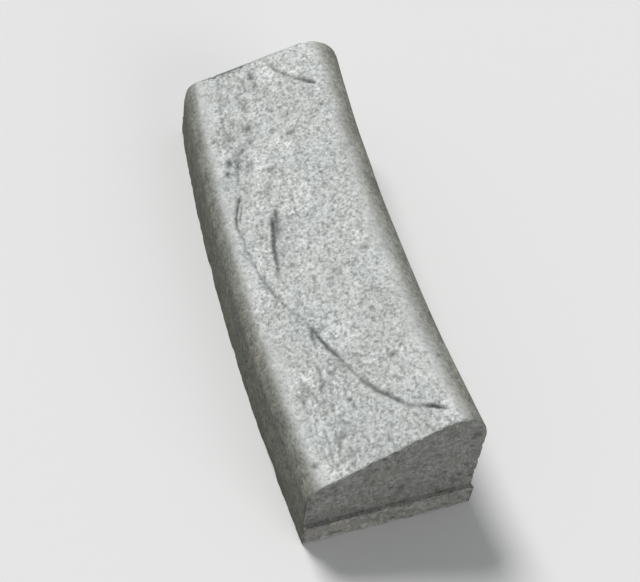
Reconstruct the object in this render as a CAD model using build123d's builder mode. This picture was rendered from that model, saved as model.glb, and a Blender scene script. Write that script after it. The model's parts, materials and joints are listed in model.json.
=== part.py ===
# Concrete garden kerb stone
# One unit of a slip-formed concrete kerb: the length between the middles of two control joints.
# The kerb is drawn out of a mould on a gentle bend, so the unit is one section turned about
# the centre of the bend. Its top slants down from the high back edge to the low front edge,
# with a rounded shoulder at each. Both ends show how the joints are made: the fresh concrete
# is cut nearly to the ground, and the thin bed left under the cut cracks through at its middle.
#
# Millimetres. X runs along the kerb, +Y points to the high back, +Z is up.
# The origin is at the middle of the bounding box, on the base.

import os
from math import cos, degrees, radians, tan

from build123d import *

# Driving dimensions of the section
kerb_width = 190.0  # front face to back face
kerb_height = 150.0  # base to the crown of the back shoulder
top_slant = 25.0  # degrees that the top rises from front to back
front_shoulder_radius = 28.0
back_shoulder_radius = 38.0

# Driving dimensions of the run
joint_spacing = 610.0  # middle of one joint to middle of the next, along the centre line
bend_radius = 3300.0  # plan radius of the kerb's centre line, with its centre behind the kerb

# Driving dimensions of the control joints
joint_gap = 12.0  # width of the cut, half of it in each of the two units that meet there
joint_bed = 28.0  # height of the concrete left uncut under the joint
joint_edge_ease = 2.0  # bevel that the cutting tool leaves on both sides of the cut

# Plan geometry: everything is turned about bend_centre
half_turn = degrees(joint_spacing / bend_radius) / 2
half_gap_turn = degrees(joint_gap / bend_radius) / 2
front_plan_radius = bend_radius + kerb_width / 2
back_plan_radius = bend_radius - kerb_width / 2
lowest_y = -front_plan_radius
highest_y = -back_plan_radius * cos(radians(half_turn))
bend_centre = Vector(0, -(lowest_y + highest_y) / 2, 0)
bend_axis = Axis(bend_centre, (0, 0, 1))

# Section geometry: the slant meets the plane of each upright face at these heights
crown_drop = back_shoulder_radius * (1 / cos(radians(top_slant)) - 1)
slant_rise = kerb_width * tan(radians(top_slant))
back_corner_height = kerb_height + crown_drop + back_shoulder_radius * tan(radians(top_slant))
front_corner_height = back_corner_height - slant_rise


def section_plane(angle):
    """Upright plane through the bend axis, at an angle from the middle of the unit.

    Its local X is the distance in front of the bend axis, and its local Y is the height.
    """
    outward = Vector(0, -1, 0).rotate(Axis.Z, angle)
    return Plane(origin=bend_centre, x_dir=outward, z_dir=outward.cross(Vector(0, 0, 1)))


with BuildPart() as kerb_stone:
    # The mould's section, drawn at one cut and turned along the bend to the other
    cut_turn = half_turn - half_gap_turn
    with BuildSketch(section_plane(-cut_turn)):
        with BuildLine():
            Polyline(
                (back_plan_radius, 0),
                (front_plan_radius, 0),
                (front_plan_radius, front_corner_height),
                (back_plan_radius, back_corner_height),
                close=True,
            )
        make_face()
        fillet(vertices().sort_by(Axis.Y)[-1], back_shoulder_radius)
        fillet(vertices().group_by(Axis.X)[-1].sort_by(Axis.Y)[-1], front_shoulder_radius)
    revolve(axis=bend_axis, revolution_arc=2 * cut_turn)

    # Eased edges over the top and down both faces at each cut
    cut_faces = faces().filter_by(GeomType.PLANE).filter_by(Axis.Z, reverse=True)
    cut_edges = cut_faces.edges().filter_by(lambda edge: edge.center().Z > joint_edge_ease)
    chamfer(cut_edges, joint_edge_ease)

    # The uncut bed runs on under each cut to the crack in the middle of the joint
    with BuildSketch(section_plane(-half_turn)):
        with BuildLine():
            Polyline(
                (back_plan_radius, 0),
                (front_plan_radius, 0),
                (front_plan_radius, joint_bed),
                (back_plan_radius, joint_bed),
                close=True,
            )
        make_face()
    revolve(axis=bend_axis, revolution_arc=2 * half_turn)

kerb_stone.part.label = "kerb_stone"

os.makedirs("parts", exist_ok=True)
export_step(kerb_stone.part, "parts/kerb_stone.step")
box = kerb_stone.part.bounding_box()
print("kerb stone", box.size, "volume in litres", round(kerb_stone.part.volume / 1e6, 2))
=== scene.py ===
# %% [markdown]
# # A slip-formed concrete kerb stone
#
# This kerb is drawn out of a moving mould as one long ribbon of stiff, fresh concrete, rolled
# with a stone-patterned stamp while it is soft, and cut across at even steps so that it cracks
# where it should. The stone here is the length between two cuts. The frame gives its true
# size, place and bend. This script gives it what a mould, a stamp, a trowel and some years
# outdoors leave on the surface.

# %% The frame, and the tools used below
import json
import math

import bmesh
import bpy
import numpy as np
from mathutils import Matrix, Vector, noise


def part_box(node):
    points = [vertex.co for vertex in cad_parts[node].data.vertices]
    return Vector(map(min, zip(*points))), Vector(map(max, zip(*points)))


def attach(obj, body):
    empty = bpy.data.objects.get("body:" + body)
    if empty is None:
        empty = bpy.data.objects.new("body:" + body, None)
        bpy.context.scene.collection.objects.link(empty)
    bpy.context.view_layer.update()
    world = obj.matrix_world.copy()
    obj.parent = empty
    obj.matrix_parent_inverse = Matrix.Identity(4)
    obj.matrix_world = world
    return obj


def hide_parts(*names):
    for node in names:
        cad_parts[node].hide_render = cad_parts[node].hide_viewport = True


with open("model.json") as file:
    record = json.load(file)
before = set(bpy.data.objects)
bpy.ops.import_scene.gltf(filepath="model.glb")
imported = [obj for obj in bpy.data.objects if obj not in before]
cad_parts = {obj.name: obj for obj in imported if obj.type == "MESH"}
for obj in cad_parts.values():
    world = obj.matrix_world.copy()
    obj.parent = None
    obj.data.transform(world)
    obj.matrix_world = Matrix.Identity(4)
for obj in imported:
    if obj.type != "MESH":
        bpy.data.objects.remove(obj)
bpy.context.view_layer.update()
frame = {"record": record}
cad_low, cad_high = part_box("kerb_stone")
print("frame box", [round(v, 4) for v in cad_low], [round(v, 4) for v in cad_high])

# %% [markdown]
# ## Sizes
#
# The bend is read back from the frame rather than typed again. The right-hand joint face
# stands square to the kerb's line, so its axis gives half of the bend's turn. Its place then
# gives the radius and the centre. The section's own numbers are those of the mould.

# %% The bend, from the joint face, and the section of the mould
joint = next(mount for mount in frame["record"]["mounts"] if mount["name"] == "right_joint")
joint_place, joint_axis = Vector(joint["pos_m"]), Vector(joint["axis"])
half_turn = math.atan2(joint_axis.y, joint_axis.x)
bend_radius = joint_place.x / math.sin(half_turn)
bend_centre = Vector((0, joint_place.y + bend_radius * math.cos(half_turn), 0))
kerb_width = 2 * (bend_centre.y - bend_radius - cad_low.y)
kerb_height = cad_high.z
half_run = half_turn * bend_radius

top_slant = math.radians(25)
front_shoulder = 0.028
back_shoulder = 0.038
joint_bed = 0.028
half_joint = 0.006
back_corner = kerb_height + back_shoulder * (1 / math.cos(top_slant) - 1 + math.tan(top_slant))
front_corner = back_corner - kerb_width * math.tan(top_slant)
print(f"bend radius {bend_radius:.3f} m, width {kerb_width:.4f} m, run {2 * half_run:.3f} m")


def on_section(across, height):
    """Point of the middle section, measured from the front face and from the base."""
    return Vector((0, bend_centre.y - bend_radius - kerb_width / 2 + across, height))


# %% [markdown]
# ## The outline
#
# The section could be a list of points, but the mould itself is made of straight plates and
# two round bars. So the outline is drawn the same way, as with a pen: a straight run extrudes
# one vertex step by step, and a shoulder spins it about the bar's centre. The steps are short
# on the stamped slant, where fine relief needs them, and long on the hidden base. The places
# across and up are kept, with the way round to each, for what is scattered over them later.

# %% Drawing the outline with straight runs and round shoulders
SLANT_STEP = 0.0015
SHOULDER_STEP = 0.0019
FACE_STEP = 0.0030
BASE_STEP = 0.016
TINY = 1e-5

kerb = bmesh.new()


def line_to(pen, across, height, step):
    """Carries the pen on in a straight line, in steps of about the given length."""
    target = on_section(across, height)
    pieces = max(1, round((target - pen.co).length / step))
    stride = (target - pen.co) / pieces
    for _ in range(pieces):
        pen = bmesh.ops.extrude_vert_indiv(kerb, verts=[pen])["verts"][0]
        pen.co += stride
    return pen


def shoulder_about(pen, across, height, radius, angle):
    """Carries the pen on round a shoulder, clockwise as seen from the left end."""
    made = bmesh.ops.spin(
        kerb, geom=[pen], cent=on_section(across, height), axis=(-1, 0, 0),
        angle=angle, steps=round(radius * angle / SHOULDER_STEP),
    )
    return next(g for g in made["geom_last"] if isinstance(g, bmesh.types.BMVert))


front_centre_height = front_corner + front_shoulder * (math.tan(top_slant) - 1 / math.cos(top_slant))
back_centre_height = kerb_height - back_shoulder
slant_end = (
    kerb_width - back_shoulder * (1 + math.sin(top_slant)),
    back_centre_height + back_shoulder * math.cos(top_slant),
)
pen = kerb.verts.new(on_section(0, 0))
pen = line_to(pen, 0, joint_bed, FACE_STEP)
pen = line_to(pen, 0, front_centre_height, FACE_STEP)
pen = shoulder_about(pen, front_shoulder, front_centre_height, front_shoulder, math.pi / 2 - top_slant)
pen = line_to(pen, *slant_end, SLANT_STEP)
back_arc = math.pi / 2 + top_slant
pen = shoulder_about(pen, kerb_width - back_shoulder, back_centre_height, back_shoulder, back_arc)
pen = line_to(pen, kerb_width, joint_bed, FACE_STEP)
pen = line_to(pen, kerb_width, 0, FACE_STEP)
pen = line_to(pen, 0, 0, BASE_STEP)
outline = np.array([(vert.co.y - cad_low.y, vert.co.z) for vert in kerb.verts])
outline_way = np.append(0, np.cumsum(np.hypot(*np.diff(outline, axis=0).T)))
bmesh.ops.remove_doubles(kerb, verts=kerb.verts, dist=TINY)
print("outline", len(kerb.verts), "points,", round(outline_way[-1], 3), "m round")

# %% [markdown]
# ## One end
#
# The end is made while the mesh is still small, because cutting a small mesh is quick. Four
# helpers do the work. The first carries what is drawn along the bend, as the mould does. The
# second gathers a face with its edges and points, because operators want all three. The third
# counts corners, which tells the few large faces from the rest. The last gives a flat face
# points for its own roughness. Subdivision needs faces with four sides, so it cuts with planes.

# %% Helpers that carry along the bend, gather, count and divide
END_STEP = 0.0022


def draw_out(geometry, distance, steps):
    """Carries a wire or a face along the bend, and gives back what is at the far end."""
    made = bmesh.ops.spin(
        kerb, geom=geometry, cent=bend_centre, axis=(0, 0, 1),
        angle=distance / bend_radius, steps=steps,
    )
    return made["geom_last"]


def with_edges(face):
    """A face, its edges and its points, in one list."""
    return [face, *face.edges, *face.verts]


def corners(face):
    """How many corners a face has, to find the few large ones."""
    return len(face.verts)


def divide(face, step):
    """Cuts a flat upright end face into cells by planes across it and along it."""
    sideways = face.normal.cross(Vector((0, 0, 1))).normalized()
    region = with_edges(face)
    for direction in (sideways, Vector((0, 0, 1))):
        reach = [vert.co.dot(direction) for vert in region if isinstance(vert, bmesh.types.BMVert)]
        rows = round((max(reach) - min(reach)) / step)
        for row in range(1, rows):
            place = direction * (min(reach) + (max(reach) - min(reach)) * row / rows)
            made = bmesh.ops.bisect_plane(
                kerb, geom=region, plane_co=place, plane_no=direction, dist=TINY
            )
            region = made["geom"]


print("end faces are divided into cells of", round(END_STEP * 1000, 1), "mm")

# %% [markdown]
# The fresh concrete was cut down to a thin bed, and the bed cracked later, so the bed stands
# proud of the cut by half the joint. The outline is turned to its place near the right-hand
# joint and drawn out by a narrow rim, which leaves room for the rounded edge. One face closes
# it. A line across that face at the height of the bed parts it in two: the upper part is the
# cut, and the lower part is drawn out to become the ledge of the bed and the crack face.

# %% The rim, the cut face, the ledge of the bed and the crack face
RIM = 0.003
LEDGE_ROWS = 4

to_rim = (half_run - half_joint - RIM) / bend_radius
bmesh.ops.rotate(
    kerb, verts=kerb.verts, cent=bend_centre, matrix=Matrix.Rotation(to_rim, 3, "Z")
)
ring = kerb.edges[:]
cut_wire = draw_out(kerb.verts[:] + ring, RIM, 1)
cut_edges = [edge for edge in cut_wire if isinstance(edge, bmesh.types.BMEdge)]
bmesh.ops.contextual_create(kerb, geom=cut_edges)
cut_verts = [vert for vert in cut_wire if isinstance(vert, bmesh.types.BMVert)]
bed_corners = [vert for vert in cut_verts if abs(vert.co.z - joint_bed) < TINY]
bed_line = bmesh.ops.connect_verts(kerb, verts=bed_corners)["edges"]
bmesh.ops.subdivide_edges(kerb, edges=bed_line, cuts=round(kerb_width / END_STEP) - 1)
bed_face = sorted(kerb.faces, key=corners)[-2]
draw_out(with_edges(bed_face), half_joint, LEDGE_ROWS)
print("bed drawn out by", round(half_joint * 1000, 1), "mm, under a cut of", len(cut_verts), "points")

# %% [markdown]
# The jointing tool rounds the edge of the cut, over the top and down both faces as far as the
# bed. That edge is bevelled before the faces are divided, because dividing them cuts it into
# bits. The normals come first, because a bevel follows them.

# %% The rounded edge of the cut, and the grids on both end faces
EDGE_ROUND = 0.0022

bmesh.ops.recalc_face_normals(kerb, faces=kerb.faces)
cut_face = max(kerb.faces, key=corners)
if cut_face.normal.x < 0:
    bmesh.ops.reverse_faces(kerb, faces=kerb.faces)
rounded = [
    edge for edge in cut_face.edges if max(vert.co.z for vert in edge.verts) > joint_bed + TINY
]
bmesh.ops.bevel(
    kerb, geom=rounded, offset=EDGE_ROUND, offset_type="OFFSET", segments=3, profile=0.5,
    affect="EDGES", clamp_overlap=True, material=-1,
)
for face in sorted(kerb.faces, key=corners)[-2:]:
    divide(face, END_STEP)
print("one end", len(kerb.verts), "points,", len(kerb.faces), "faces")

# %% [markdown]
# ## The whole run
#
# Both ends are cut alike, so the second is a mirror image of the first. The mould's outline is
# then carried along the bend from one to the other. Spinning it in hundreds of small steps
# would work, but it is slow and small errors add up. So it is spun in some forty long strides,
# and the strides are subdivided: on a bend this wide they bow by less than a hundredth of a
# millimetre. The weld is wide enough for what small error is left. Mirroring turns faces
# inside out, so the normals are worked out again once everything is welded.

# %% The other end, and the run between the two
STRIDE = 0.0155
STRIDE_CUTS = 9
WELD = 2e-4

bmesh.ops.mirror(kerb, geom=kerb.verts[:] + kerb.edges[:] + kerb.faces[:], merge_dist=0, axis="X")
ring_edges = [edge for edge in kerb.edges if edge.is_boundary and edge.verts[0].co.x > 0]
ring_verts = [vert for vert in kerb.verts if vert.is_boundary and vert.co.x > 0]
run = 2 * to_rim * bend_radius
draw_out(ring_verts + ring_edges, -run, round(run / STRIDE))
bmesh.ops.remove_doubles(kerb, verts=[vert for vert in kerb.verts if vert.is_boundary], dist=WELD)
strides = [
    edge for edge in kerb.edges
    if abs(edge.verts[0].co.x - edge.verts[1].co.x) > 0.9 * STRIDE and len(edge.link_faces) == 2
]
bmesh.ops.subdivide_edges(kerb, edges=strides, cuts=STRIDE_CUTS, use_grid_fill=True)
bmesh.ops.triangulate(kerb, faces=[face for face in kerb.faces if len(face.verts) > 4])
bmesh.ops.recalc_face_normals(kerb, faces=kerb.faces)
kerb.normal_update()
open_edges = sum(not edge.is_manifold for edge in kerb.edges)
triangles = sum(len(face.verts) - 2 for face in kerb.faces)
print("whole kerb", len(kerb.verts), "points,", triangles, "triangles,", open_edges, "open edges")
print("volume", round(kerb.calc_volume() * 1000, 3), "litres")

# %% [markdown]
# ## Three kinds of surface
#
# The same concrete shows three faces. Where it slid through the mould it has a closed, pale
# skin. In the joint it was cut while fresh, which tears it open. At the crack, and under the
# base, it is broken or rough. Each face of the mesh is given to one of them now, while the
# surfaces are still smooth and easy to tell apart. Every point also gets its place in
# the kerb's own terms: along it, across it from the front, and up.

# %% Each point in the kerb's own terms, and each face given to its surface
SKIN, TORN, BROKEN = range(3)
NEARLY = 1e-4

points = np.array([vert.co for vert in kerb.verts])
normals = np.array([vert.normal for vert in kerb.verts])
from_centre = points - np.array(bend_centre)
turn = np.arctan2(from_centre[:, 0], -from_centre[:, 1])
along = turn * bend_radius
across = bend_radius + kerb_width / 2 - np.hypot(from_centre[:, 0], from_centre[:, 1])
height = points[:, 2]
sharpness = np.array([vert.calc_shell_factor() for vert in kerb.verts]) - 1
place = np.column_stack((along, across, height))
to_end = half_run - np.abs(along)
facing_end = normals[:, 0] * np.cos(turn) + normals[:, 1] * np.sin(turn)


def surface_of(face):
    """The kind of surface that a face belongs to."""
    middle = face.calc_center_median()
    arm = middle - bend_centre
    left = half_run - abs(math.atan2(arm.x, -arm.y)) * bend_radius
    if face.normal.z < -0.9 or (left < NEARLY and middle.z < joint_bed):
        return BROKEN
    if left < half_joint + NEARLY and middle.z > joint_bed - NEARLY:
        return TORN
    return SKIN


for face in kerb.faces:
    face.material_index = surface_of(face)
    face.smooth = True
for name, kind in (("skin", SKIN), ("torn", TORN), ("broken", BROKEN)):
    print(name, sum(face.material_index == kind for face in kerb.faces), "faces")

# %% [markdown]
# ## Relief
#
# Every mark below is worked out as a depth in metres at each point, measured inwards. They
# are added up, and the points are pushed in by the sum along their normals, as one would with
# a sculpting brush. A displacement modifier with a texture could do the broad ones, but not a
# cleft that follows a route. Pushing only inwards keeps the stone inside its true size.

# %% Helpers: smooth random values and a soft step
def grain(size, octaves=3, seed=0, stretch=(1, 1, 1)):
    """Smooth random value at each point, mostly -1 to 1, with marks of the given size in metres."""
    spots = place / (size * np.array(stretch)) + 37.7 * seed
    return np.array([noise.fractal(spot, 1.0, 2.0, octaves) for spot in spots.tolist()])


def soft_step(low, high, values):
    """0 below low, 1 above high, and a smooth rise between them."""
    share = np.clip((values - low) / (high - low), 0, 1)
    return share * share * (3 - 2 * share)


# %% [markdown]
# ### The skin from the mould
#
# The mould slides along on the fresh concrete, so its faces are straight but never quite
# flat, and every hard grain under a plate leaves a faint drag line along the kerb.

# %% Broad waves and drag lines
WAVE_DEPTH = 0.0007
DRAG_DEPTH = 0.00022

wave = WAVE_DEPTH * soft_step(-0.6, 0.7, grain(0.11, 2, seed=1))
drag = DRAG_DEPTH * soft_step(-0.2, 0.8, grain(0.006, 2, seed=2, stretch=(14, 1, 1)))
print("waves up to", round(wave.max() * 1000, 2), "mm, drag lines", round(drag.max() * 1000, 2), "mm")

# %% [markdown]
# ### The stamped top
#
# The roller presses hard along the middle of the top and fades out towards each shoulder. Its
# print is like the skin of split stone: shallow plates with small ledges, a fine, rough grain
# over all of it, and a few scuffed places where it stuck and pulled the skin off. Plates come
# from smooth noise cut into soft steps. A scuff is given by its place along and across the
# kerb, and half its length and width, in millimetres. Scuffs are rougher and painted darker;
# the one beside the centre cleft stands for painted shade on that cleft's low side.

# %% The field of the roller, its plates, its grain and its scuffs
FIELD_FRONT, FIELD_BACK, FIELD_FADE = 0.016, 0.157, 0.013
PLATE_STEP, PLATE_LEVELS, LOWEST_LEVEL = 0.0005, 2.6, -3
GRAIN_DEPTH = 0.0011
SCUFF_ROUGHNESS, SCUFF_DEPTH = 0.8, 0.0004
SCUFFS_AND_SHADE = [
    # The area at -22 along and 62 across is painted shade beside the centre cleft.
    (-225, 48, 70, 24), (-150, 38, 40, 15), (-268, 70, 22, 16), (82, 56, 22, 14), (-22, 62, 36, 8),
    (196, 46, 46, 28), (262, 46, 34, 24),
]

wander = FIELD_FADE * grain(0.045, 3, seed=3)
stamped = (
    soft_step(FIELD_FRONT - FIELD_FADE, FIELD_FRONT + FIELD_FADE, across + wander)
    * soft_step(-FIELD_BACK - FIELD_FADE, -FIELD_BACK + FIELD_FADE, -across + wander)
    * soft_step(0.3, 0.7, normals[:, 2]) * (to_end > half_joint)
)
levels = PLATE_LEVELS * grain(0.055, 3, seed=4)
soft_levels = np.floor(levels) + soft_step(0.35, 0.65, levels - np.floor(levels))
plates = PLATE_STEP * (soft_levels - LOWEST_LEVEL)
scuffed_and_shaded = np.zeros(len(points))
for centre_along, centre_across, half_length, half_width in SCUFFS_AND_SHADE:
    reach = np.hypot(
        (along * 1000 - centre_along) / half_length, (across * 1000 - centre_across) / half_width
    )
    scuffed_and_shaded = np.maximum(scuffed_and_shaded, 1 - soft_step(0.5, 1.1, reach))
scuffed_and_shaded = scuffed_and_shaded * soft_step(-0.12, 0.5, grain(0.0042, 3, seed=13, stretch=(3.0, 1, 1))) * stamped
rough_grain = GRAIN_DEPTH * np.abs(grain(0.0062, 3, seed=5)) * (1 + SCUFF_ROUGHNESS * scuffed_and_shaded)
rough_grain = rough_grain + SCUFF_DEPTH * scuffed_and_shaded
print("stamped share of the points", round(float(stamped.mean()), 2))

# %% [markdown]
# ### Clefts
#
# The print has a few long clefts, as if layers of stone had split. Each is a route of a few
# points on the top, given along the kerb, across it from the front face, and how deep it is
# there, because a cleft opens and closes on its way. The distance of every point from the
# route gives a groove, and the side to the right of the way it runs, as seen from above, is
# left a little lower, which makes the ledge that real clefts have. A weak noise wobbles the
# routes by about a millimetre, so that they don't look ruled.

# %% The width and the route of each cleft, in millimetres: along, across, depth
CLEFTS = {
    "long": (4.2, [
        (100, 55, 0.4), (120, 60, 1.8), (134, 63, 2.5), (150, 68, 2.6), (166, 74, 1.8), (184, 79, 1.1),
        (200, 84, 1.1), (212, 90, 1.7), (226, 97, 2.2), (240, 106, 2.1), (251, 113, 1.6), (258, 119, 0.9),
        (264, 127, 1.5), (267, 132, 3.2), (272, 139, 3.5), (277, 146, 2.4),
    ]),
    "branch": (4.4, [(119, 60, 2.0), (129, 57, 2.2), (143, 57, 1.1)]),
    "centre": (4.6, [
        (40, 47, 1.0), (20, 48, 1.8), (6, 50, 2.4), (-6, 51, 3.4), (-22, 54, 3.6), (-38, 57, 3.4),
        (-46, 58, 1.2),
    ]),
    "centre side": (4.6, [(-12, 58, 0.9), (-30, 60, 1.9), (-44, 62, 2.1), (-53, 64, 1.8)]),
    "centre tail": (8.0, [(-62, 59, 0.5), (-76, 61, 1.0), (-94, 64, 0.8)]),
    "arc": (3.4, [
        (-92, 32, 1.8), (-80, 27, 2.8), (-68, 24, 2.8), (-54, 21, 2.2), (-40, 22, 1.1), (-20, 24, 1.0),
        (0, 26, 1.1), (20, 28, 1.2), (40, 32, 1.6), (62, 38, 1.3), (84, 46, 0.8), (102, 55, 0.5),
    ]),
    "arc side": (2.4, [(-54, 26, 0.8), (-66, 28, 1.4), (-80, 31, 1.2)]),
    "far": (5.0, [
        (-293, 94, 0.6), (-275, 100, 1.4), (-259, 110, 1.6), (-247, 119, 1.0), (-239, 127, 1.8),
        (-231, 136, 2.8), (-225, 144, 1.8),
    ]),
    "seam": (3.4, [
        (-104, 33, 0.3), (-130, 37, 1.2), (-165, 36, 0.3), (-200, 32, 0.9), (-240, 34, 0.4),
        (-290, 37, 0.8),
    ]),
}
RIGHT_SHARE, LEFT_SHARE = 0.58, 0.36
LEDGE_SHARE = 0.22
RIGHT_REACH, LEFT_REACH = 7.0, 0.9
WOBBLE = 1.3

wobble = WOBBLE * np.column_stack((grain(0.014, 3, seed=6), grain(0.014, 3, seed=7)))
torn_edge = 0.7 + 0.3 * soft_step(-0.35, 0.35, grain(0.008, 3, seed=14))


def groove(width, route):
    """Depths in metres of a groove along a route in millimetres, and of the low side beside it."""
    spot = np.column_stack((along, across)) * 1000 + wobble
    nearest = np.full(len(spot), 1e3)
    side, depth = np.zeros(len(spot)), np.zeros(len(spot))
    for start, end in zip(route, route[1:]):
        stroke = np.subtract(end[:2], start[:2])
        length = np.hypot(*stroke)
        share = np.clip((spot - start[:2]) @ stroke / length**2, 0, 1)
        offset = spot - start[:2] - share[:, None] * stroke
        distance = np.hypot(offset[:, 0], offset[:, 1])
        closer = distance < nearest
        nearest[closer] = distance[closer]
        side[closer] = (stroke[0] * offset[:, 1] - stroke[1] * offset[:, 0])[closer]
        depth[closer] = (start[2] + share * (end[2] - start[2]))[closer]
    on_right = side < 0
    half_width = width * np.where(on_right, RIGHT_SHARE, LEFT_SHARE)
    cut = np.exp(-((nearest / half_width) ** 2)) * torn_edge
    low_side = np.exp(-nearest / np.where(on_right, RIGHT_REACH, LEFT_REACH))
    return 0.001 * depth * cut, 0.001 * LEDGE_SHARE * depth * low_side


clefts, ledges = np.zeros(len(points)), np.zeros(len(points))
for width, route in CLEFTS.values():
    cut, ledge = groove(width, route)
    clefts, ledges = np.maximum(clefts, cut), np.maximum(ledges, ledge)
on_top = normals[:, 2] > 0.5
clefts, ledges = clefts * on_top, ledges * on_top
print(len(CLEFTS), "clefts, deepest", round(clefts.max() * 1000, 1), "mm")

# %% [markdown]
# ### Pits and air holes
#
# Some marks are pits that the print pulled out of the top. Others are air holes, where
# bubbles met the mould, or larger voids that the cutter opened in the joints. The pits are
# listed one by one: place along and across, half the length and width, and depth, in
# millimetres. The holes are scattered along the kerb and round its outline, with a seed so that
# they fall in the same places every time. The voids are tried over a box round the cut faces,
# and about a fifth of the tries miss the concrete. No hole is picked from the mesh's own points,
# because an operator may number those differently each time. How deep one is goes with its
# radius.

# %% Pits one by one and air holes at random
PITS = [
    (-133, 26, 5, 2.4, 2.4), (-148, 30, 6, 3.0, 3.0), (-140, 38, 7, 2.4, 2.0), (-130, 50, 10, 4, 1.4),
    (-157, 46, 5, 3.6, 1.9), (-190, 57, 6, 5, 2.0), (-190, 18, 3, 2.2, 1.8), (-188, 37, 8, 4, 1.3),
    (-170, 60, 11, 3, 1.2), (-115, 71, 4, 6, 1.7), (-132, 106, 12, 3, 1.2), (-157, 101, 4, 6, 1.6),
    (-188, 100, 4, 6, 1.2), (-185, 144, 2.6, 5, 1.7), (-255, 76, 8, 4, 1.4), (-273, 74, 7, 3.4, 1.8),
    (-226, 60, 7, 3, 1.8), (-86, 30, 4, 2.6, 1.6), (36, 31, 6, 2.6, 1.6), (62, 103, 5, 5, 1.2),
    (47, 138, 5, 5, 1.3), (230, 69, 4, 1.7, 1.8), (220, 68, 2.6, 2.8, 2.2), (256, 47, 3.4, 2.6, 2.1),
    (262, 43, 7, 2.6, 1.3), (274, 15, 3.2, 2.2, 2.0), (198, 27, 6, 2.6, 1.8), (191, 50, 3, 6, 1.5),
    (192, 121, 3.4, 3.6, 1.9), (212, 165, 2.4, 4, 1.6),
]
PIT_WANDER = 1.6
AIR_HOLES, HOLE_SIZES, HOLE_DEPTH = 150, (0.0009, 0.0021), 0.8
VOIDS, VOID_SIZES, VOID_DEPTH = 190, (0.0016, 0.0034), 0.9
HOLES_FROM_END, HOLES_FROM_BASE, VOIDS_FROM_BED = 0.012, 0.004, 0.003


def round_hole(centre, radius):
    """1 at the centre of a hole, and down to nearly 0 at twice its radius."""
    return np.exp(-((np.linalg.norm(place - centre, axis=1) / radius) ** 2))


pits = np.zeros(len(points))
for centre_along, centre_across, half_length, half_width, depth in PITS:
    spot = np.hypot(
        (along * 1000 + PIT_WANDER * wobble[:, 0] - centre_along) / half_length,
        (across * 1000 + PIT_WANDER * wobble[:, 1] - centre_across) / half_width,
    )
    pits = np.maximum(pits, depth * 0.001 * np.exp(-(spot**2)) * on_top)
dice = np.random.default_rng(24)
skin_end = outline_way[-1] - kerb_width - HOLES_FROM_BASE
for _ in range(AIR_HOLES):
    radius = dice.uniform(*HOLE_SIZES)
    hole_along = dice.uniform(-1, 1) * (half_run - HOLES_FROM_END)
    way = dice.uniform(HOLES_FROM_BASE, skin_end)
    centre = (hole_along, *(np.interp(way, outline_way, side) for side in outline.T))
    pits = np.maximum(pits, HOLE_DEPTH * radius * round_hole(centre, radius))
voids = np.zeros(len(points))
for _ in range(VOIDS):
    radius = dice.uniform(*VOID_SIZES)
    void_along = dice.choice((-1, 1)) * (half_run - half_joint)
    void_across = dice.uniform(0, kerb_width)
    void_height = dice.uniform(joint_bed + VOIDS_FROM_BED, kerb_height)
    centre = (void_along, void_across, void_height)
    voids = np.maximum(voids, VOID_DEPTH * radius * round_hole(centre, radius))
print(len(PITS), "pits,", AIR_HOLES, "air holes and", VOIDS, "tries at a void in the joints")

# %% [markdown]
# ### Torn joints, chipped edges, the crack and the base
#
# The cutter drags grains out of the fresh concrete, so the cut is rough, and bits of its
# edge come away with it. The crack runs round the stones in the mix, so it is rougher still.
# The base was never in the mould, so it is uneven, and its lower edge is ragged where the
# mould let go. Last come the corners, which wear first wherever they are sharp.

# %% Roughness of the hidden faces, chips along the edges, and the ragged foot
TEAR_DEPTH, CRACK_DEPTH, BASE_DEPTH = 0.0016, 0.0034, 0.0024
CHIP_DEPTH, CHIP_REACH = 0.0026, 0.0030
FOOT_DEPTH, FOOT_REACH = 0.0018, 0.006
WEAR, MOST_WEAR = 0.0018, 0.0012

coarse = grain(0.010, 4, seed=8)
in_joint = soft_step(-half_joint - 0.0003, -half_joint + 0.0001, -to_end)
cracked = soft_step(-0.0016, 0, -to_end)
under = soft_step(0.6, 0.95, -normals[:, 2])
tear = TEAR_DEPTH * in_joint * soft_step(-0.5, 0.8, grain(0.006, 4, seed=9, stretch=(1, 1, 2.6)))
crack = CRACK_DEPTH * cracked * soft_step(-0.7, 0.8, coarse)
base = BASE_DEPTH * under * soft_step(-0.1, 0.9, grain(0.022, 5, seed=10))

slant_depth = (front_corner + across * math.tan(top_slant) - height) * math.cos(top_slant)
to_edge = np.minimum(np.minimum(across, kerb_width - across), slant_depth)
from_cut = np.hypot(np.maximum(to_end - half_joint, 0), np.maximum(to_edge, 0) * in_joint)
chips = CHIP_DEPTH * soft_step(0.10, 0.75, grain(0.013, 4, seed=11)) * np.exp(-from_cut / CHIP_REACH)
chips = chips * (height > joint_bed + 0.004)
wear = np.minimum(WEAR * sharpness, MOST_WEAR) * soft_step(-0.6, 0.6, grain(0.016, 3, seed=15))
foot = FOOT_DEPTH * soft_step(-0.2, 0.9, grain(0.030, 6, seed=12)) * np.exp(-height / FOOT_REACH)
print("chips up to", round(chips.max() * 1000, 1), "mm, crack", round(crack.max() * 1000, 1), "mm")

# %% [markdown]
# The depths are now added up. Marks of the skin stop at the joints and at the base, where a
# mould or a stamp never touched the concrete.

# %% Everything added up, and the points pushed in
on_skin = 1 - np.maximum(in_joint, under)
inward = on_skin * (wave + drag + stamped * (plates + rough_grain) + clefts + ledges + pits + foot)
inward = inward + chips + np.maximum(tear, voids * in_joint) + crack + base + wear
for vert, depth in zip(kerb.verts, inward):
    vert.co -= vert.normal * depth
print("mean depth", round(inward.mean() * 1000, 2), "mm, most", round(inward.max() * 1000, 2), "mm")
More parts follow.
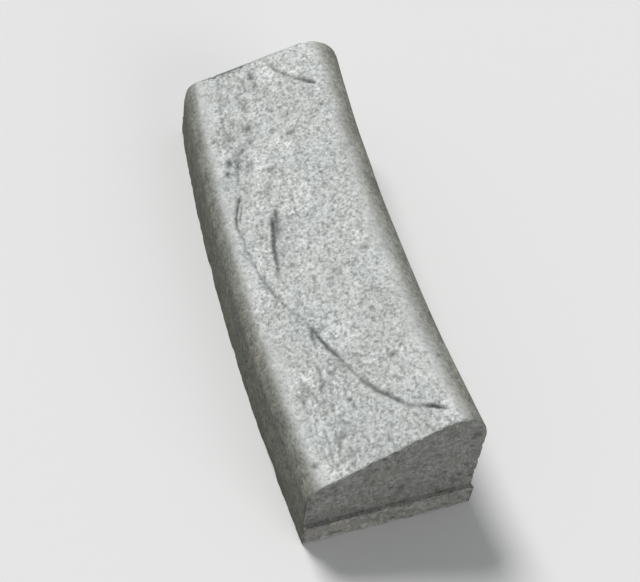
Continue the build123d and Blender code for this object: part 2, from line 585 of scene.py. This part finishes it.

# %% [markdown]
# ## Masks for the materials
#
# The materials paint low places of the surface darker, as painted shade with some dirt, so they
# need to know how deep a point lies below what is around it. The relief already knows that. It
# is written to the mesh as attributes, one number from 0 to 1 at each point, which a material
# reads by name. The hollow mask, painted shade and dirt in the clefts, beside them, in the pits
# and in the voids, is full at a depth of about two millimetres. The mask of bare and shaded
# faces tells the upright faces and the steep part of both shoulders from the top, by the way
# each point faces.

# %% The mesh and its masks
FULL_HOLLOW, FULL_GRAIN = 0.0024, 0.0020
CLEFT_SHADE, LEDGE_SHADE, VOID_SHADE = 1.25, 0.5, 0.6
JOINT_DARKENING_REACH = 0.004


def write_mask(mesh, name, values):
    """Keeps one number at each point of the mesh, for the materials to read."""
    mask = mesh.attributes.new(name, "FLOAT", "POINT")
    mask.data.foreach_set("value", np.clip(values, 0, 1).astype(np.float32))


kerb_mesh = bpy.data.meshes.new("kerb_concrete")
kerb.to_mesh(kerb_mesh)
kerb.free()
plan_radius = np.hypot(from_centre[:, 0], from_centre[:, 1])
to_front = (from_centre[:, 0] * normals[:, 0] + from_centre[:, 1] * normals[:, 1]) / plan_radius
# Painted shade with some dirt: clefts, the low side beside them, pits and voids, by depth.
hollow_shade_and_dirt = np.maximum(CLEFT_SHADE * clefts, pits) + LEDGE_SHADE * ledges + VOID_SHADE * voids
# Bare paste, and painted shade, on the upright faces and the steep part of both shoulders.
bare_and_shaded = np.maximum(soft_step(0.40, 0.85, to_front), soft_step(-0.10, 0.66, -to_front))
write_mask(kerb_mesh, "hollow_shade_and_dirt", hollow_shade_and_dirt / FULL_HOLLOW)
write_mask(kerb_mesh, "stamped", stamped)
write_mask(kerb_mesh, "scuffed_and_shaded", scuffed_and_shaded)
write_mask(kerb_mesh, "bare_and_shaded", bare_and_shaded)
# How low the stamped print lies, for painted shade in its low grain.
write_mask(kerb_mesh, "low_grain", (plates + rough_grain) * stamped / FULL_GRAIN)
# The skin is painted darker towards the joints.
write_mask(kerb_mesh, "near_joint", np.exp(-np.maximum(to_end - half_joint, 0) / JOINT_DARKENING_REACH))
masks = [mask.name for mask in kerb_mesh.attributes if mask.data_type == "FLOAT"]
print("masks", masks)

# %% [markdown]
# The mesh becomes an object that rides on the frame's one body and stands for its solid.
# Edges sharper than 50 degrees are marked, so that shading doesn't smear over the corners.

# %% The object
kerb_mesh.set_sharp_from_angle(angle=math.radians(50))
kerb_concrete = bpy.data.objects.new("kerb_concrete", kerb_mesh)
bpy.context.scene.collection.objects.link(kerb_concrete)
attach(kerb_concrete, "root")
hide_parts("kerb_stone")
print("object", kerb_concrete.name, "with", len(kerb_mesh.polygons), "faces")

# %% [markdown]
# ## Materials
#
# Concrete is one thing at every scale: cement paste, sand and small stones. So its three
# surfaces share five effects, each a node group that is built once: the sand in the paste,
# the stones, the pinholes, the clouds of paler and darker paste, and the dirt that rain
# splashes up from below. Each material places them with values of its own.

# %% Helpers for node trees
def node(tree, kind, inputs=None, **settings):
    """Adds a node, sets its properties, and sets or links its inputs by name or number."""
    made = tree.nodes.new(kind)
    for name, value in settings.items():
        setattr(made, name, value)
    for name, value in (inputs or {}).items():
        if isinstance(value, bpy.types.NodeSocket):
            tree.links.new(value, made.inputs[name])
        else:
            made.inputs[name].default_value = value
    return made


def math_node(tree, operation, *values, clamp=False):
    """One step of arithmetic on numbers or sockets."""
    inputs = dict(enumerate(values))
    return node(tree, "ShaderNodeMath", inputs, operation=operation, use_clamp=clamp).outputs[0]


def times(tree, first, second):
    """Two values multiplied."""
    return math_node(tree, "MULTIPLY", first, second)


def plus(tree, first, second):
    """Two values added."""
    return math_node(tree, "ADD", first, second)


def mix_values(tree, share, first, second):
    """Mixes two values."""
    return node(tree, "ShaderNodeMix", {0: share, 2: first, 3: second}).outputs[0]


def mix(tree, share, first, second, blend_type="MIX"):
    """Mixes two colours."""
    inputs = {0: share, 6: first, 7: second}
    made = node(tree, "ShaderNodeMix", inputs, data_type="RGBA", blend_type=blend_type)
    return made.outputs[2]


def tinted(tree, colour, tint):
    """A colour multiplied by another colour or by a value."""
    return mix(tree, 1.0, colour, tint, "MULTIPLY")


def covered(tree, colour, mask, strength, cover):
    """A colour with another over it where a mask is high, at a strength from 0 to 1."""
    return mix(tree, times(tree, mask, strength), colour, cover)


def rise(tree, value, low, high, smooth=True):
    """0 below low and 1 above high."""
    inputs = {"Value": value, "From Min": low, "From Max": high}
    kind = "SMOOTHSTEP" if smooth else "LINEAR"
    return node(tree, "ShaderNodeMapRange", inputs, interpolation_type=kind).outputs[0]


def noise_at(tree, place_socket, scale, detail=3.0, roughness=0.55, distortion=0.0):
    """A noise from 0 to 1, with about as many marks per metre as its scale."""
    inputs = {
        "Vector": place_socket, "Scale": scale, "Detail": detail,
        "Roughness": roughness, "Distortion": distortion,
    }
    return node(tree, "ShaderNodeTexNoise", inputs).outputs["Fac"]


def new_group(name, inputs, outputs):
    """An empty node group with named inputs and outputs, and its two end nodes."""
    group = bpy.data.node_groups.new(name, "ShaderNodeTree")
    for in_out, sockets in (("INPUT", inputs), ("OUTPUT", outputs)):
        for socket_name, (kind, value) in sockets.items():
            socket_type = f"NodeSocket{kind}"
            socket = group.interface.new_socket(socket_name, in_out=in_out, socket_type=socket_type)
            if value is not None:
                socket.default_value = value
    return group, group.nodes.new("NodeGroupInput").outputs, group.nodes.new("NodeGroupOutput").inputs


def use(tree, group, **values):
    """Places a group in a material. Spaces in its input names are written as underscores."""
    made = node(tree, "ShaderNodeGroup", node_tree=group)
    for name, value in values.items():
        name = name.replace("_", " ")
        if isinstance(value, bpy.types.NodeSocket):
            tree.links.new(value, made.inputs[name])
        else:
            made.inputs[name].default_value = value
    return made.outputs


# %% [markdown]
# ### Sand
#
# Up close, a concrete skin is a mottle of pale and dark grains, one to five millimetres
# across, sharper where the paste has worn off them. Three noises, each finer than the last,
# give clumps, grains and dust, and a Voronoi pattern gives each grain a tone of its own. Each
# averages a half, so their sum averages half of their shares, and the contrast spreads it from
# there. The sum serves as height too, because bare grains stand up.

# %% Sand speckle
CLUMP_SHARE, GRAIN_SHARE, DUST_SHARE, OWN_SHARE = 0.34, 0.9, 0.5, 0.16
SAND_MEAN = (CLUMP_SHARE + GRAIN_SHARE + DUST_SHARE + OWN_SHARE) / 2

sand, given, result = new_group(
    "Sand speckle",
    {"Place": ("Vector", None), "Grains per metre": ("Float", 300.0), "Contrast": ("Float", 1.0)},
    {"Tone": ("Float", None), "Height": ("Float", None)},
)
clump_scale = times(sand, given["Grains per metre"], 0.4)
dust_scale = times(sand, given["Grains per metre"], 2.4)
clumps = noise_at(sand, given["Place"], clump_scale, detail=2.0)
single = noise_at(sand, given["Place"], given["Grains per metre"], detail=3.0, roughness=0.6)
dust = noise_at(sand, given["Place"], dust_scale, detail=4.0, roughness=0.75)
cell_inputs = {"Vector": given["Place"], "Scale": given["Grains per metre"]}
cell = node(sand, "ShaderNodeTexVoronoi", cell_inputs).outputs["Color"]
own_tone = node(sand, "ShaderNodeSeparateColor", {"Color": cell}).outputs["Red"]
total = plus(
    sand,
    plus(sand, times(sand, clumps, CLUMP_SHARE), times(sand, single, GRAIN_SHARE)),
    plus(sand, times(sand, dust, DUST_SHARE), times(sand, own_tone, OWN_SHARE)),
)
away = times(sand, math_node(sand, "SUBTRACT", total, SAND_MEAN), given["Contrast"])
tone = math_node(sand, "MULTIPLY_ADD", away, 2.0, 0.5, clamp=True)
sand.links.new(tone, result["Tone"])
sand.links.new(total, result["Height"])
print(sand.name, len(sand.nodes), "nodes")

# %% [markdown]
# ### Stones
#
# The stones of the mix show where it is torn or broken. A Voronoi pattern has one cell for
# each stone, and what lies near enough to the middle of its cell is stone. A noise bends the
# place first, so that the stones aren't round. Each cell's random colour makes its stone large
# or small, and grey, buff or pale.

# %% Stones of the mix
GREY_STONE = (0.24, 0.25, 0.245, 1)
BUFF_STONE = (0.42, 0.385, 0.32, 1)
PALE_STONE = (0.55, 0.54, 0.51, 1)

stones, given, result = new_group(
    "Stones in the mix",
    {"Place": ("Vector", None), "Stones per metre": ("Float", 120.0), "Share": ("Float", 0.4)},
    {"Mask": ("Float", None), "Stone colour": ("Color", None), "Height": ("Float", None)},
)
warp = node(stones, "ShaderNodeTexNoise", {"Vector": given["Place"], "Detail": 3.0})
stones.links.new(times(stones, given["Stones per metre"], 1.6), warp.inputs["Scale"])
warp_inputs = {0: warp.outputs["Color"], 1: (0.5, 0.5, 0.5)}
centred = node(stones, "ShaderNodeVectorMath", warp_inputs, operation="SUBTRACT")
reach = math_node(stones, "DIVIDE", 0.9, given["Stones per metre"])
shift = node(stones, "ShaderNodeVectorMath", {0: centred.outputs[0], 3: reach}, operation="SCALE")
bent = node(stones, "ShaderNodeVectorMath", {0: given["Place"], 1: shift.outputs[0]}, operation="ADD")
cells = node(
    stones, "ShaderNodeTexVoronoi",
    {"Vector": bent.outputs[0], "Scale": given["Stones per metre"], "Randomness": 1.0},
).outputs
chance = node(stones, "ShaderNodeSeparateColor", {"Color": cells["Color"]}).outputs
size = times(stones, times(stones, chance["Blue"], 1.5), given["Share"])
past_edge = math_node(stones, "SUBTRACT", cells["Distance"], size)
mask = math_node(stones, "SUBTRACT", 1.0, rise(stones, past_edge, -0.06, 0.03))
grey_or_buff = mix(stones, chance["Red"], GREY_STONE, BUFF_STONE)
stone_colour = mix(stones, rise(stones, chance["Green"], 0.8, 0.9), grey_or_buff, PALE_STONE)
stones.links.new(mask, result["Mask"])
stones.links.new(stone_colour, result["Stone colour"])
stones.links.new(mask, result["Height"])
print(stones.name, len(stones.nodes), "nodes")

# %% [markdown]
# ### Pinholes
#
# A formed face is dotted with pinholes, where tiny bubbles sat against the mould. They are far
# too small to model. A Voronoi pattern has a distance to the middle of each cell, which makes
# a round dot, and the cell's random colour leaves most cells without one.

# %% Pinholes
pinholes, given, result = new_group(
    "Pinholes",
    {"Place": ("Vector", None), "Cells per metre": ("Float", 300.0), "Share": ("Float", 0.1)},
    {"Mask": ("Float", None)},
)
cells = node(
    pinholes, "ShaderNodeTexVoronoi", {"Vector": given["Place"], "Scale": given["Cells per metre"]}
).outputs
chance = node(pinholes, "ShaderNodeSeparateColor", {"Color": cells["Color"]}).outputs
open_cell = math_node(pinholes, "LESS_THAN", chance["Green"], given["Share"])
hole_size = math_node(pinholes, "MULTIPLY_ADD", chance["Blue"], 0.16, 0.12)
depth_in = math_node(pinholes, "SUBTRACT", hole_size, cells["Distance"])
dot = rise(pinholes, depth_in, 0.0, 0.06)
pinholes.links.new(times(pinholes, dot, open_cell), result["Mask"])
print(pinholes.name, len(pinholes.nodes), "nodes")

# %% [markdown]
# ### Clouds in the paste
#
# A kerb dries unevenly and the rain finds it unevenly, so its grey drifts over a few
# centimetres, and leans a little warmer here and cooler there. The drift is weak, but
# without it a large face looks like painted plastic.

# %% Clouds of paler and darker paste
COOL_TINT, WARM_TINT = (0.982, 1.0, 1.0, 1), (1.0, 0.993, 0.98, 1)

clouds, given, result = new_group(
    "Paste clouds",
    {"Place": ("Vector", None), "Strength": ("Float", 0.2)},
    {"Shade": ("Float", None), "Tint": ("Color", None)},
)
wide = noise_at(clouds, given["Place"], 9.0, detail=3.0, roughness=0.5, distortion=0.4)
small = noise_at(clouds, given["Place"], 38.0, detail=4.0, roughness=0.6, distortion=0.2)
drift = plus(clouds, times(clouds, wide, 0.6), times(clouds, small, 0.4))
swing = times(clouds, math_node(clouds, "SUBTRACT", drift, 0.5), given["Strength"])
clouds.links.new(math_node(clouds, "MULTIPLY_ADD", swing, 4.0, 1.0), result["Shade"])
lean = noise_at(clouds, given["Place"], 22.0, detail=3.0, roughness=0.55, distortion=0.5)
clouds.links.new(mix(clouds, rise(clouds, lean, 0.35, 0.65), COOL_TINT, WARM_TINT), result["Tint"])
print(clouds.name, len(clouds.nodes), "nodes")

# %% [markdown]
# ### Splashed dirt
#
# Rain splashes dirt on the lowest few centimetres of a kerb. The mask falls off with height,
# and noise breaks its edge, because a straight tide line would look drawn on.

# %% Splashed dirt
splash, given, result = new_group(
    "Splashed dirt",
    {"Place": ("Vector", None), "Reach": ("Float", 0.05)},
    {"Mask": ("Float", None)},
)
above = node(splash, "ShaderNodeSeparateXYZ", {"Vector": given["Place"]}).outputs["Z"]
uneven = noise_at(splash, given["Place"], 45.0, detail=5.0, roughness=0.65)
ragged = math_node(splash, "MULTIPLY_ADD", math_node(splash, "SUBTRACT", uneven, 0.5), 0.09, above)
level = math_node(splash, "DIVIDE", ragged, given["Reach"])
splash.links.new(math_node(splash, "SUBTRACT", 1.0, rise(splash, level, 0.0, 1.0)), result["Mask"])
print(splash.name, len(splash.nodes), "nodes")

# %% [markdown]
# ### The three surfaces
#
# The base shader is the same each time: rough, no metal, no coat. What changes is how much of
# each effect shows. The clean skin of the stamped top is pale and slightly cool. A torn face
# is little more than half as bright, and a broken one shows its stones.

# %% A helper that starts a concrete material
def concrete(name):
    """A new material: its tree, its shader, the place of each point, and a reader of masks."""
    material = bpy.data.materials.new(name)
    material.use_nodes = True
    tree = material.node_tree
    shader = tree.nodes["Principled BSDF"]
    shader.inputs["Specular IOR Level"].default_value = 0.3
    place_socket = node(tree, "ShaderNodeTexCoord").outputs["Object"]

    def mask_of(attribute):
        return node(tree, "ShaderNodeAttribute", attribute_name=attribute).outputs["Fac"]

    return material, tree, shader, place_socket, mask_of


def bump(tree, shader, height, distance, strength):
    """Feeds a height to the shader's normal."""
    inputs = {"Height": height, "Distance": distance, "Strength": strength}
    tree.links.new(node(tree, "ShaderNodeBump", inputs).outputs[0], shader.inputs["Normal"])


# %% [markdown]
# The stamp opens the paste of the top, so its sand shows sharp and pale. Off the stamped field
# the same sand shows more softly, and the paste is a quarter darker: closed paste, and on the
# rounded shoulders also painted shade. The speckle runs from dark paste to pale paste, and from
# there to bare grain.

# %% Skin: pale paste and sand of the stamped top
DARK_PASTE, PALE_PASTE = (0.30, 0.31, 0.30, 1), (0.66, 0.668, 0.66, 1)
BARE_GRAIN = (0.96, 0.96, 0.945, 1)
CLOSED_AND_SHADED_TINT = (0.74, 0.745, 0.735, 1)

skin, tree, shader, spot, mask_of = concrete("Slip-formed skin")
grains = use(tree, sand, Place=spot, Grains_per_metre=275.0, Contrast=1.25)
smooth_grains = use(tree, sand, Place=spot, Grains_per_metre=300.0, Contrast=0.5)
on_field = mask_of("stamped")
tone = mix_values(tree, on_field, smooth_grains["Tone"], grains["Tone"])
paste = mix(tree, rise(tree, tone, 0.0, 0.5, smooth=False), DARK_PASTE, PALE_PASTE)
paste = mix(tree, rise(tree, tone, 0.5, 1.0, smooth=False), paste, BARE_GRAIN)
# A quarter darker off the field: closed paste, and painted shade on the shoulders.
paste = mix(tree, on_field, tinted(tree, paste, CLOSED_AND_SHADED_TINT), paste)
print("stamped paste", len(tree.nodes), "nodes so far")

# %% [markdown]
# The upright faces are darker and warmer than the top: partly their own bare paste, because the
# mould draws wet paste over them and no stamp opens it again, and partly painted shade, which
# the same mask also lays on the steep part of both shoulders. A noise drawn out along the height
# makes streaks, a wider one makes blotches, and the sand shows through both. The clouds then drift
# over everything.

# %% Skin: streaked and blotched paste of the upright faces
WET_STREAK, DRY_STREAK = (0.145, 0.144, 0.125, 1), (0.245, 0.244, 0.212, 1)
BLOTCH = (0.315, 0.312, 0.270, 1)
DARK_SAND_TINT, PALE_SAND_TINT = (0.50, 0.50, 0.50, 1), (1.45, 1.45, 1.44, 1)

streak_place = node(tree, "ShaderNodeMapping", {"Vector": spot, "Scale": (1, 1, 0.3)}).outputs[0]
streaks = noise_at(tree, streak_place, 42.0, detail=5.0, roughness=0.62, distortion=0.6)
blotches = noise_at(tree, spot, 26.0, detail=6.0, roughness=0.68, distortion=0.3)
shaded_bare_paste = mix(tree, rise(tree, streaks, 0.3, 0.72), WET_STREAK, DRY_STREAK)
shaded_bare_paste = covered(tree, shaded_bare_paste, rise(tree, blotches, 0.32, 0.7), 0.7, BLOTCH)
dark_sand = tinted(tree, shaded_bare_paste, DARK_SAND_TINT)
pale_sand = tinted(tree, shaded_bare_paste, PALE_SAND_TINT)
# Dark paste of the upright faces and shoulders: bare paste and painted shade.
paste = covered(tree, paste, mask_of("bare_and_shaded"), 0.9, mix(tree, grains["Tone"], dark_sand, pale_sand))
drift = use(tree, clouds, Place=spot, Strength=0.15)
paste = tinted(tree, tinted(tree, paste, drift["Shade"]), drift["Tint"])
print("with upright faces", len(tree.nodes), "nodes so far")

# %% [markdown]
# Everything that darkens the skin goes over the paste, one over the other: painted shade in the
# low grain of the print, the scuffs, one of them painted shade beside the centre cleft, painted
# shade with some dirt in the clefts and pits, the splashed dirt, a darkening towards the joints,
# and painted shade in the pinholes. Each has its mask, its strength and its colour. The sand also
# gives the skin its bump and, where a grain is pale and bare, a trace of shine.

# %% Skin: stains, shine and bump
dirty = use(tree, splash, Place=spot, Reach=0.05)["Mask"]
holes = use(tree, pinholes, Place=spot, Cells_per_metre=320.0, Share=0.07)["Mask"]
low_grain = rise(tree, mask_of("low_grain"), 0.4, 0.95)
for mask, strength, stain in (
    # Painted shade in the low grain of the stamped print.
    (low_grain, 0.3, (0.28, 0.30, 0.28, 1)),
    # Darker scuffs; the one beside the centre cleft is painted shade.
    (mask_of("scuffed_and_shaded"), 0.62, (0.25, 0.265, 0.257, 1)),
    # Painted shade with some dirt in the clefts, beside them and in the pits.
    (mask_of("hollow_shade_and_dirt"), 0.88, (0.11, 0.12, 0.112, 1)),
    (dirty, 0.6, (0.19, 0.18, 0.14, 1)),
    # Darker towards the joints.
    (mask_of("near_joint"), 0.3, (0.22, 0.23, 0.21, 1)),
    # Painted shade in the pinholes, too small to model.
    (holes, 0.75, (0.07, 0.072, 0.065, 1)),
):
    paste = covered(tree, paste, mask, strength, stain)
tree.links.new(paste, shader.inputs["Base Color"])
tree.links.new(math_node(tree, "MULTIPLY_ADD", grains["Tone"], -0.12, 0.93), shader.inputs["Roughness"])
relief = mix_values(tree, on_field, times(tree, smooth_grains["Height"], 0.35), grains["Height"])
relief = math_node(tree, "SUBTRACT", relief, times(tree, holes, 0.5))
bump(tree, shader, relief, distance=0.0020, strength=0.6)
print(skin.name, len(tree.nodes), "nodes")

# %% [markdown]
# The torn face shows sharper sand and the smaller stones, with painted shade and some dirt in its
# voids. The broken one shows whole stones, and its clouds are stronger, because nothing smoothed it.

# %% Torn face of the joint
DARK_TORN, PALE_TORN = (0.24, 0.245, 0.235, 1), (0.54, 0.545, 0.525, 1)
VOID_SHADE_AND_DIRT, LOW_DIRT = (0.09, 0.09, 0.08, 1), (0.13, 0.12, 0.095, 1)

torn, tree, shader, spot, mask_of = concrete("Torn joint face")
grains = use(tree, sand, Place=spot, Grains_per_metre=420.0, Contrast=1.3)
small_stones = use(tree, stones, Place=spot, Stones_per_metre=190.0, Share=0.52)
dirty = use(tree, splash, Place=spot, Reach=0.07)["Mask"]
paste = mix(tree, grains["Tone"], DARK_TORN, PALE_TORN)
paste = covered(tree, paste, small_stones["Mask"], 0.7, small_stones["Stone colour"])
# Painted shade with some dirt in the voids of the cut.
paste = covered(tree, paste, mask_of("hollow_shade_and_dirt"), 0.8, VOID_SHADE_AND_DIRT)
paste = covered(tree, paste, dirty, 0.5, LOW_DIRT)
tree.links.new(paste, shader.inputs["Base Color"])
shader.inputs["Roughness"].default_value = 0.95
relief = plus(tree, grains["Height"], times(tree, small_stones["Height"], 0.25))
bump(tree, shader, relief, distance=0.0016, strength=0.8)
print(torn.name, len(tree.nodes), "nodes")

# %% Broken crack face and rough base
DARK_BROKEN, PALE_BROKEN = (0.25, 0.247, 0.23, 1), (0.53, 0.525, 0.50, 1)

broken, tree, shader, spot, mask_of = concrete("Broken face")
grains = use(tree, sand, Place=spot, Grains_per_metre=360.0, Contrast=1.2)
large_stones = use(tree, stones, Place=spot, Stones_per_metre=110.0, Share=0.50)
shade = use(tree, clouds, Place=spot, Strength=0.25)["Shade"]
paste = mix(tree, grains["Tone"], DARK_BROKEN, PALE_BROKEN)
paste = covered(tree, paste, large_stones["Mask"], 0.85, large_stones["Stone colour"])
tree.links.new(tinted(tree, paste, shade), shader.inputs["Base Color"])
shader.inputs["Roughness"].default_value = 0.93
relief = plus(tree, grains["Height"], times(tree, large_stones["Height"], 0.3))
bump(tree, shader, relief, distance=0.0016, strength=0.8)
print(broken.name, len(tree.nodes), "nodes")

# %% The materials in the order of the kinds of surface
for material in (skin, torn, broken):
    kerb_mesh.materials.append(material)
print("materials", [material.name for material in kerb_mesh.materials])

# %% [markdown]
# ## Floor, light and camera
#
# The stone stands on a plain floor that is pale to the camera and dark to the stone, so that
# its upright faces stay as dim as a kerb's are, with no bright floor to light them from below.
# A Light Path node tells the camera's rays from the rest.

# %% The floor
FLOOR_AS_SEEN = (0.74, 0.74, 0.73, 1)
FLOOR_AS_LIT = (0.16, 0.16, 0.15, 1)

floor_mesh = bpy.data.meshes.new("floor")
floor_shape = bmesh.new()
bmesh.ops.create_circle(floor_shape, cap_ends=True, radius=30, segments=96)
floor_shape.to_mesh(floor_mesh)
floor_shape.free()
floor = bpy.data.objects.new("floor", floor_mesh)
bpy.context.scene.collection.objects.link(floor)
floor_paint = bpy.data.materials.new("Floor paint")
floor_paint.use_nodes = True
floor_shader = floor_paint.node_tree.nodes["Principled BSDF"]
floor_shader.inputs["Roughness"].default_value = 0.9
seen = node(floor_paint.node_tree, "ShaderNodeLightPath").outputs["Is Camera Ray"]
floor_colour = mix(floor_paint.node_tree, seen, FLOOR_AS_LIT, FLOOR_AS_SEEN)
floor_paint.node_tree.links.new(floor_colour, floor_shader.inputs["Base Color"])
floor_mesh.materials.append(floor_paint)
print("floor radius 30 m")

# %% [markdown]
# The sky is split in the same way. It lights the stone weakly and evenly, and to the camera it
# is as pale as the floor, so that no horizon shows.

# %% The sky
SKY_LEVEL, SKY_LEVEL_AS_SEEN = 0.28, 0.82
SKY_COLOUR, SKY_COLOUR_AS_SEEN = (0.95, 0.98, 1.0, 1), (1.0, 1.0, 0.995, 1)

world = bpy.data.worlds.new("Pale sky")
world.use_nodes = True
bpy.context.scene.world = world
sky = world.node_tree.nodes["Background"]
seen = node(world.node_tree, "ShaderNodeLightPath").outputs["Is Camera Ray"]
sky_level = mix_values(world.node_tree, seen, SKY_LEVEL, SKY_LEVEL_AS_SEEN)
world.node_tree.links.new(sky_level, sky.inputs["Strength"])
sky_colour = mix(world.node_tree, seen, SKY_COLOUR, SKY_COLOUR_AS_SEEN)
world.node_tree.links.new(sky_colour, sky.inputs["Color"])
print("sky", SKY_LEVEL, "to the stone and", SKY_LEVEL_AS_SEEN, "to the camera")

# %% [markdown]
# One soft key light comes from beyond the far end, at a slant that draws the stamped relief. An
# area lamp would fade along the kerb. A sun lamp doesn't, and its wide angle keeps the shadows
# soft. A weaker one from the near end and the back opens the joint face.

# %% The key light and the fill light
KEY_DIRECTION, KEY_STRENGTH, KEY_SOFTNESS = Vector((-0.61, -0.20, 0.76)), 2.85, math.radians(22)
FILL_DIRECTION, FILL_STRENGTH, FILL_SOFTNESS = Vector((0.85, 0.38, 0.35)), 0.8, math.radians(40)


def soft_light(name, direction, strength, softness):
    """A sun lamp that shines from the given direction."""
    lamp = bpy.data.lights.new(name, "SUN")
    lamp.angle = softness
    lamp.energy = strength
    light = bpy.data.objects.new(name, lamp)
    light.rotation_euler = (-direction).to_track_quat("-Z", "Y").to_euler()
    bpy.context.scene.collection.objects.link(light)
    print(name, "light from", [round(v, 2) for v in direction.normalized()])


soft_light("key", KEY_DIRECTION, KEY_STRENGTH, KEY_SOFTNESS)
soft_light("fill", FILL_DIRECTION, FILL_STRENGTH, FILL_SOFTNESS)

# %% [markdown]
# ## The camera
#
# The eye stands in front of the kerb and past its right end, 1.3 metres up, and looks down
# along it. Its place, and the pitch, yaw and roll of the photograph, were worked out from the
# kerb's own edges. The stone is small and off to one side there, so this camera keeps the eye
# and the tilt, turns to the middle of the stone and has a longer lens.

# %% The camera
EYE = Vector((1.083, -0.418, 1.328))
PHOTO_PITCH, PHOTO_YAW, PHOTO_ROLL = (math.radians(angle) for angle in (37.67, 3.64, -3.20))
TARGET = Vector((0.03, 0, 0.06))
LENS = 85

photo_look = Vector((
    -math.cos(PHOTO_YAW) * math.cos(PHOTO_PITCH),
    math.sin(PHOTO_YAW) * math.cos(PHOTO_PITCH),
    -math.sin(PHOTO_PITCH),
))
level_right = Vector((math.sin(PHOTO_YAW), math.cos(PHOTO_YAW), 0))
photo_right = Matrix.Rotation(-PHOTO_ROLL, 3, photo_look) @ level_right
photo_up = photo_right.cross(photo_look)
photo_axes = Matrix((photo_right, photo_up, -photo_look)).transposed()
turn_to_stone = photo_look.rotation_difference(TARGET - EYE)

camera_data = bpy.data.cameras.new("camera")
camera_data.lens = LENS
camera = bpy.data.objects.new("camera", camera_data)
bpy.context.scene.collection.objects.link(camera)
camera.matrix_world = (
    Matrix.Translation(EYE) @ (turn_to_stone.to_matrix() @ photo_axes).to_4x4()
)
bpy.context.scene.camera = camera
bpy.context.scene.view_settings.view_transform = "Standard"
print("camera", round((TARGET - EYE).length, 2), "m from the stone")
